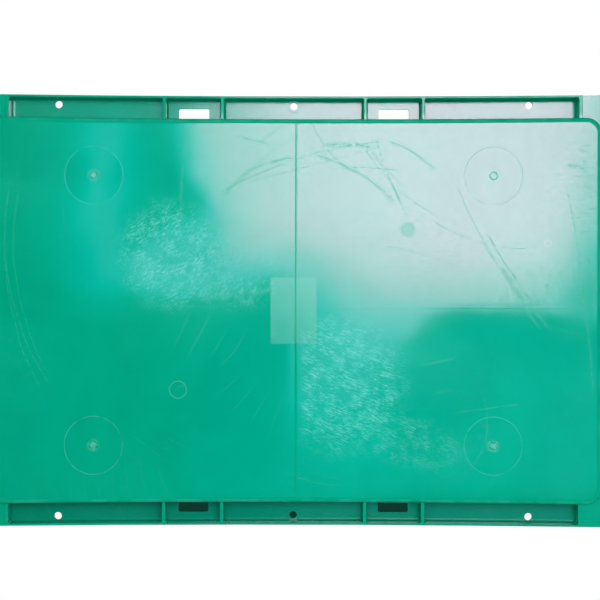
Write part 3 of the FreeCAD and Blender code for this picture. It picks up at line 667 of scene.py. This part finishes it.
def outline_points():
    """Points and outward normals round the outline, one quarter mirrored to all four."""
    quarter = []
    for i in range(46):
        x = TANGENT_X * i / 46
        a = math.asin(x / BOW_R)
        quarter.append(((x, BOW_Y - BOW_R * math.cos(a)), (-math.sin(a), math.cos(a))))
    corner_from = math.atan2(TANGENT_Y - CORNER_Y, TANGENT_X - CORNER_X)
    for i in range(17):
        a = corner_from * (1 - i / 16.0)
        c, s = math.cos(a), math.sin(a)
        quarter.append(((CORNER_X + CORNER_R * c, CORNER_Y + CORNER_R * s), (c, s)))
    for i in range(1, 30):
        quarter.append(((OUT_X, CORNER_Y * (1 - i / 29.0)), (1.0, 0.0)))

    def mirrored(part, sign_x, sign_y):
        return [tuple((sign_x * u, sign_y * v) for u, v in pair) for pair in part]

    return (quarter + mirrored(quarter[-2:0:-1], 1, -1) + mirrored(quarter[:-1], -1, -1)
            + mirrored(quarter[:0:-1], -1, 1))


def cut_panel(bm):
    """Cut the flat top into 12 mm squares, with close cuts across the knit lines."""
    cuts = [(0, k * 12.0 + 0.3) for k in range(-23, 24)]
    cuts += [(1, k * 12.0 + 0.2) for k in range(-14, 15)]
    for axis, knit in ((0, KNIT_X), (1, KNIT_Y)):
        cuts += [(axis, knit + d) for d in (-1.3, -0.8, -0.35, 0.0, 0.35, 0.8, 1.3)]
    for axis, at in cuts:
        top = [f for f in bm.faces
               if f.normal.z > 0.9999 and f.calc_center_median().z > PANEL_Z - 0.0010]
        geom = set(top)
        for f in top:
            geom.update(f.edges)
            geom.update(f.verts)
        normal = Vector((0, 0, 0))
        normal[axis] = 1
        bmesh.ops.bisect_plane(bm, geom=list(geom), plane_co=normal * (at / 1000.0),
                               plane_no=normal, dist=1e-7)


def open_edge(bm):
    """Take out the panel's rounded edge; build_edge_strip fills it again."""
    gone = []
    for f in bm.faces:
        low = min(v.co.z for v in f.verts)
        high = max(v.co.z for v in f.verts)
        if 0.1349 < low < 0.13999 and high < 0.14015 and high - low > 1e-5 and f.normal.z < 0.9999:
            centre = f.calc_center_median() * 1000.0
            if -0.3 < outline_gap(centre.x, centre.y) < EDGE_R + 0.2:
                gone.append(f)
    bmesh.ops.delete(bm, geom=gone, context="FACES_ONLY")


def share_at(p):
    """How much of the warp a point of the shell takes."""
    inside = abs(p.x) < WARP_LIMIT_X and abs(p.y) < WARP_LIMIT_Y
    return warp_share(p.z) if inside else 0.0


def warped_normals(bm, layer):
    normals = []
    for f in bm.faces:
        centre = f.calc_center_median() * 1000.0
        side_x = -1 if centre.x < KNIT_X else 1
        side_y = -1 if centre.y < KNIT_Y else 1
        gate_r = math.hypot(abs(centre.x) - GATE_X, abs(centre.y) - GATE_Y)
        on_step = centre.x > 0 and f.normal.z < 0.98 and 26.0 < gate_r < 27.5
        for loop in f.loops:
            n = Vector(loop[layer])
            if n.length < 0.5:
                n = f.normal.copy()
            p = loop.vert.co
            # soften the step round the two gates on the right
            if on_step and p.z > 0.1390:
                n = n * 0.16 + Vector((0.0, 0.0, 0.84))
            share = share_at(p)
            if share > 0:
                _, slope_x, slope_y = warp(p.x * 1000.0, p.y * 1000.0, side_x, side_y)
                n = Vector((n.x - slope_x * share * n.z, n.y - slope_y * share * n.z, n.z))
            n.normalize()
            normals.append(tuple(n))
    return normals


def build_deck_shell():
    source = nodes["deck"].data
    mesh = source.copy()
    mesh.name = "deck_shell"
    corner_normals = [n.vector.copy() for n in source.corner_normals]
    bm = bmesh.new()
    bm.from_mesh(mesh)
    # a loop layer carries the original normals through the cuts
    layer = bm.loops.layers.float_vector.new("cad_n")
    loops = (loop for f in bm.faces for loop in f.loops)
    for loop, normal in zip(loops, corner_normals):
        loop[layer] = normal
    cut_panel(bm)
    open_edge(bm)
    normals = warped_normals(bm, layer)
    for vert in bm.verts:
        share = share_at(vert.co)
        if share > 0:
            vert.co.z += warp(vert.co.x * 1000.0, vert.co.y * 1000.0)[0] * share / 1000.0
    bm.loops.layers.float_vector.remove(layer)
    bm.to_mesh(mesh)
    bm.free()
    for polygon in mesh.polygons:
        polygon.use_smooth = True
    mesh.normals_split_custom_set(normals)
    mesh.update()
    shell = add_object("deck_shell", mesh)
    mesh.materials.clear()
    mesh.materials.append(materials["deck_plastic"])
    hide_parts("deck")
    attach(shell, "root")


def build_edge_strip():
    """The rounded edge of the panel: an even quarter-round strip that closes the shell."""
    rows = 9
    verts, normals, faces = [], [], []
    points = outline_points()
    for (out_x, out_y), (nx, ny) in points:
        for r in range(rows + 1):
            a = math.radians(90.0 * r / rows)
            c, s = math.cos(a), math.sin(a)
            x = out_x - nx * EDGE_R + nx * EDGE_R * c
            y = out_y - ny * EDGE_R + ny * EDGE_R * c
            z = PANEL_TOP - EDGE_R + EDGE_R * s
            share = warp_share(z / 1000.0)
            height, slope_x, slope_y = warp(x, y)
            normals.append(tuple(Vector((nx * c - slope_x * share * s,
                                         ny * c - slope_y * share * s, s)).normalized()))
            verts.append((x / 1000.0, y / 1000.0, (z + height * share) / 1000.0))
    for i in range(len(points)):
        for r in range(rows):
            a = i * (rows + 1) + r
            b = (i + 1) % len(points) * (rows + 1) + r
            faces.append((a, a + 1, b + 1, b))
    mesh = bpy.data.meshes.new("deck_panel_edge")
    mesh.from_pydata(verts, [], faces)
    mesh.materials.append(materials["deck_plastic"])
    for polygon in mesh.polygons:
        polygon.use_smooth = True
    mesh.normals_split_custom_set_from_vertices(normals)
    strip = add_object("deck_panel_edge", mesh)
    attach(strip, "root")


build_deck_shell()
build_edge_strip()


# ---- floor --------------------------------------------------------------------
def plane(name, half_x, half_y, z):
    mesh = bpy.data.meshes.new(name)
    mesh.from_pydata([(-half_x, -half_y, 0), (half_x, -half_y, 0), (half_x, half_y, 0),
                      (-half_x, half_y, 0)], [], [(0, 1, 2, 3)])
    added = add_object(name, mesh)
    added.location = (0, 0, z)
    return added


def floor_material():
    """Plain white to the camera from above and far out, grey nearby; a painted shade patch under
    the front slots, and a painted dim green glow in reflections.
    """
    material, net = new_material("stage_floor_m")
    point = net.coords()
    x, y, _ = point.split()
    steep = net.geometry("Incoming").split()[2].rise(0.955, 0.965)
    far = point.vector("LENGTH").rise(0.7, 2.6)
    # painted shade: seen from straight above, the floor under the front strap slots glows a dark
    # green, standing in for deep shade
    shade = (abs(x).fall(0.145, 0.165) * y.rise(-0.2135, -0.2125)
             * y.fall(-0.185, -0.180) * steep)
    white = highest(steep, far)
    camera_ray = net.field("ShaderNodeLightPath", output="Is Camera Ray")
    glow = net.shader("Emission", Strength=1.0,
                      Color=mix(shade, (1.0, 1.0, 1.0), to=(0.0045, 0.040, 0.028)))
    tone = mix(point.noise(scale=3.0, detail=3.0).rise(0.3, 0.7),
               (0.80, 0.80, 0.80), to=(0.83, 0.83, 0.83))
    seen = net.mix_shader(white * camera_ray, net.shader("BsdfDiffuse", Color=tone), glow)
    # painted reflection: to glossy rays the floor glows a dim green instead of showing its own pale
    # colour
    dim = net.shader("Emission", Color=(0.10, 0.34, 0.29), Strength=1.0)
    glossy_ray = net.field("ShaderNodeLightPath", output="Is Glossy Ray")
    net.finish(net.mix_shader(glossy_ray, seen, dim))
    return material


floor = plane("stage_floor", 9.0, 9.0, 0.0)
floor.data.materials.append(floor_material())

# ---- reflection card ------------------------------------------------------------
CARD_FULL = 1.2                   # brightest level on the card
# level on the card and its colour
CARD_TONES = [
    (0.0, (0.0, 0.0, 0.0)), (0.286, (0.0, 0.133, 0.165)), (0.43, (0.042, 0.173, 0.245)),
    (0.545, (0.141, 0.232, 0.312)), (0.716, (0.290, 0.272, 0.375)),
    (0.973, (0.545, 0.355, 0.500)), (CARD_FULL, (0.68, 0.455, 0.625))]


def soft_step(t, middle, width):
    """0 to 1 across middle; a negative width goes from 1 to 0."""
    return 0.5 + t.net.math("TANH", (t - middle) * (1.0 / width)) * 0.5


def square_off(t, middle, width):
    off = (t - middle) * (1.0 / width)
    return off * off


def card_material():
    """A softbox with soft edges, laid out in mm on the panel, as seen mirrored from above."""
    material, net = new_material("stage_card_m")
    x, y, _ = net.coords().split()
    x = x * (1000.0 / CARD_ZOOM)
    y = y * (1000.0 / CARD_ZOOM)
    # the box itself: brightest at +x, +y, falling off to its border
    core = exponent((square_off(x, 158.0, 277.0)
                     + square_off(lowest(y, 111.0), 111.0, 120.0)) * -0.5)
    upper = soft_step(y, 180.0, 3.0)
    core = core * (1.05 + upper * soft_step(x, 264.0, -3.0) * 0.50)
    core = (core * soft_step(x + y * -0.20, 276.0, -32.0)
            * soft_step(x + y * 0.30 + upper * -63.0, -57.0, 21.0))
    # its lower border sits on the knit line on the left and bends down on the right
    right = soft_step(x, 2.5, 2.0)
    low_left = soft_step(y + soft_step(x, -68.0, 14.0) * -12.0, 4.0, 2.8)
    low_right = soft_step(y + soft_step(x, 99.0, -22.0) * 44.0
                          + square_off(x, 190.0, 90.0) * 6.0, -7.2, 2.8)
    low = low_right * right + low_left * (1.0 - right)
    # a duller patch round the middle
    dip = exponent((square_off(x, -15.0, 50.0) + square_off(y, 0.0, 40.0)) * -1.0)
    main = core * low * (1.0 + dip * -0.54)
    # what spills round it
    bulge = (soft_step(square_off(x, -92.0, 56.0) + square_off(y, 46.0, 46.0), 1.0, -0.35)
             * low_left * 0.36)
    lobe = right * soft_step(x, 84.0, -12.0) * soft_step(y, -100.0, 26.0) * 0.20
    band = (exponent(square_off(x, -174.0, 26.0) * -0.5) * soft_step(y, 10.0, 18.0)
            * (1.0 + upper * -0.9) * 0.31)
    veil = ((0.020 + soft_step(x, -70.0, 60.0) * 0.12
             + soft_step(x, 34.0, 37.0) * soft_step(y, -156.0, 23.0) * 0.02)
            * soft_step(y, -172.0, 10.0))
    level = highest(main, bulge + lobe + band + veil)
    level = highest(lowest(level, CARD_FULL), 0.0)
    ramp = net.node("ShaderNodeValToRGB", {0: level * (1.0 / CARD_FULL)})
    elements = ramp.color_ramp.elements
    while len(elements) < len(CARD_TONES):
        elements.new(0.5)
    for element, (at, tone) in zip(elements, CARD_TONES):
        element.position = at / CARD_FULL
        element.color = (*tone, 1.0)
    net.finish(net.shader("Emission", Color=Field(net, ramp.outputs[0]), Strength=25.0))
    return material


card = plane("stage_card", 1.9, 1.6, PANEL_Z + CARD_RISE)
card.data.materials.append(card_material())
card.visible_camera = False
card.visible_diffuse = False
card.visible_shadow = False
card.visible_transmission = False


# ---- light ----------------------------------------------------------------------
def build_world():
    world = bpy.data.worlds.new("studio")
    scene.world = world
    world.use_nodes = True
    net = Net(world.node_tree)
    x, y, z = net.coords("Generated").split()
    rays = net.node("ShaderNodeLightPath")
    # what the plastic mirrors: black overhead, pale walls lower down
    wall = z.rise(0.80, 0.25)
    side = (0.55 + x.rise(-0.8, 0.9) * 0.45) * (1.0 + y.rise(0.0, 0.5) * -0.70)
    mirrored = wall * side * 0.75
    # a tall soft panel behind the left end
    turn = x * -0.707 + y * -0.707
    tall = (turn.rise(-0.06, 0.10) * turn.fall(0.30, 0.45) * z.rise(0.20, 0.32)
            * z.fall(0.55, 0.66) * y.rise(0.0, 0.2))
    glossy = net.shader("Background", Color=mix(tall, (0.28, 1.0, 0.94), to=(0.95, 1.0, 1.0)),
                        Strength=mirrored + tall * 1.5)
    # even fill, stronger from low down and from the front
    fill = 0.28 + z.rise(1.0, 0.0) * (0.30 + y.rise(0.1, -0.8) * 0.45)
    diffuse = net.shader("Background", Color=(1.0, 1.0, 1.0), Strength=fill)
    backdrop = net.shader("Background", Color=(1.0, 1.0, 1.0), Strength=1.0)
    lit = net.mix_shader(Field(net, rays.outputs["Is Glossy Ray"]), diffuse, glossy)
    net.finish(net.mix_shader(Field(net, rays.outputs["Is Camera Ray"]), lit, backdrop),
               "ShaderNodeOutputWorld")


build_world()

KEY_PLACE, KEY_TARGET = Vector((0.12, 0.30, 2.05)), Vector((0, 0, 0.1))
light = bpy.data.lights.new("key", "AREA")
light.shape = "RECTANGLE"
light.energy = 26.8
light.size = 1.5
light.size_y = 1.0
key = add_object("key", light)
key.location = KEY_PLACE
key.rotation_euler = (KEY_TARGET - KEY_PLACE).to_track_quat("-Z", "Y").to_euler()
key.visible_glossy = False

# ---- camera -----------------------------------------------------------------------
lens = bpy.data.cameras.new("cam")
camera = add_object("cam", lens)
camera.location = (0, 0, CAMERA_Z)
camera.rotation_euler = (0, 0, math.radians(0.12))
lens.sensor_width = 36.0
lens.lens = 110.262
# frame offset, as a share of the frame's width
lens.shift_x = 0.010833333
lens.shift_y = 0.017666667
scene.camera = camera
